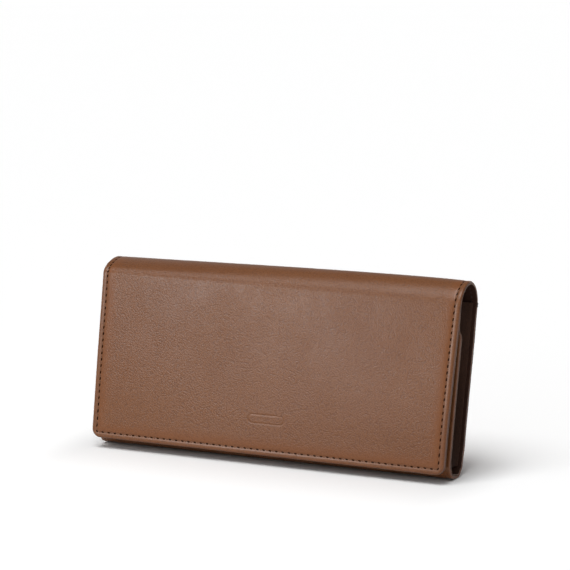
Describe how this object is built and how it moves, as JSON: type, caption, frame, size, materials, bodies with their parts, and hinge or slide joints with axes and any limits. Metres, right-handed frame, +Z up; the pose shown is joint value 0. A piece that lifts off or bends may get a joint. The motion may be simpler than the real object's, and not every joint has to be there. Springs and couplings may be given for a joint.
{
  "type": "long flap wallet",
  "caption": "Long leather wallet: a stitched flap rolls over a gusseted body with card slots and a zip coin pocket.",
  "frame": {"origin": "middle of the base, on the surface it stands on", "axes": "+X along the wallet, -Y towards the flap, +Z up"},
  "size_m": [0.19, 0.024, 0.096],
  "materials": {
    "outer_leather": "fine grain, satin",
    "lining_leather": "smooth matt",
    "inner_leather": "smooth matt",
    "board": "bonded fibre board, matt",
    "thread": "waxed polyester thread",
    "zip_tape": "woven tape",
    "zip_metal": "polished",
    "closure_steel": "plain"
  },
  "bodies": {
    "body": {"back_leather": "outer_leather", "back_stiffener": "board", "back_lining": "lining_leather", "back_stitching": "thread", "base_leather": "outer_leather", "base_lining": "lining_leather", "card_slot_1": "inner_leather", "card_slot_2": "inner_leather", "card_slot_3": "inner_leather", "card_slot_4": "inner_leather", "gusset_left": "inner_leather", "gusset_right": "inner_leather"},
    "roll_rear": {"roll_rear_leather": "outer_leather", "roll_rear_lining": "lining_leather"},
    "roll_top": {"roll_top_leather": "outer_leather", "roll_top_lining": "lining_leather"},
    "roll_front": {"roll_front_leather": "outer_leather", "roll_front_lining": "lining_leather"},
    "flap": {"flap_leather": "outer_leather", "flap_stiffener": "board", "flap_magnet": "closure_steel", "flap_lining": "lining_leather", "flap_stitching": "thread"},
    "front_panel": {"front_leather": "outer_leather", "front_stiffener": "board", "front_lining": "lining_leather", "catch_plate": "closure_steel", "front_stitching": "thread"},
    "coin_pocket": {"coin_pocket_back": "inner_leather", "coin_pocket_front": "inner_leather", "coin_pocket_seam": "inner_leather", "coin_pocket_binding": "inner_leather", "zip_tape_upper": "zip_tape", "zip_tape_lower": "zip_tape", "zip_teeth_upper": "zip_metal", "zip_teeth_lower": "zip_metal", "zip_stops": "zip_metal"},
    "zip_slider": {"zip_slider": "zip_metal"},
    "zip_puller": {"zip_puller": "zip_metal", "puller_tab": "outer_leather"}
  },
  "joints": [
    {"name": "roll_rear_fold", "type": "hinge", "parent": "body", "child": "roll_rear", "pos_m": [0, 0.01109, 0.08859], "axis": [-1, 0, 0], "range_deg": [0, 45]},
    {"name": "roll_top_fold", "type": "hinge", "parent": "roll_rear", "child": "roll_top", "pos_m": [0, 0.00459, 0.09509], "axis": [-1, 0, 0], "range_deg": [0, 45]},
    {"name": "roll_front_fold", "type": "hinge", "parent": "roll_top", "child": "roll_front", "pos_m": [0, -0.00459, 0.09509], "axis": [-1, 0, 0], "range_deg": [0, 45]},
    {"name": "flap_fold", "type": "hinge", "parent": "roll_front", "child": "flap", "pos_m": [0, -0.01109, 0.08859], "axis": [-1, 0, 0], "range_deg": [0, 45]},
    {"name": "front_panel_fold", "type": "hinge", "parent": "body", "child": "front_panel", "pos_m": [0, 0.0003, 0.005], "axis": [1, 0, 0], "range_deg": [0, 20.25], "deforming": ["gusset_left", "gusset_right", "base_leather", "base_lining"]},
    {"name": "coin_pocket_fold", "type": "hinge", "parent": "body", "child": "coin_pocket", "pos_m": [0, 0.0003, 0.005], "axis": [1, 0, 0], "range_deg": [0, 10.12]},
    {"name": "zip_slide", "type": "slide", "parent": "coin_pocket", "child": "zip_slider", "axis": [1, 0, 0], "range_m": [0, 0.148]},
    {"name": "puller_swing", "type": "hinge", "parent": "zip_slider", "child": "zip_puller", "pos_m": [-0.074, 0.00075, 0.0756], "axis": [0, 1, 0], "range_deg": [-20, 20]}
  ],
  "couplings": [
    {"joint": "roll_top_fold", "follows": "roll_rear_fold", "ratio": 1},
    {"joint": "roll_front_fold", "follows": "roll_rear_fold", "ratio": 1},
    {"joint": "flap_fold", "follows": "roll_rear_fold", "ratio": 1},
    {"joint": "front_panel_fold", "follows": "roll_rear_fold", "ratio": 0.45},
    {"joint": "coin_pocket_fold", "follows": "roll_rear_fold", "ratio": 0.225}
  ]
}
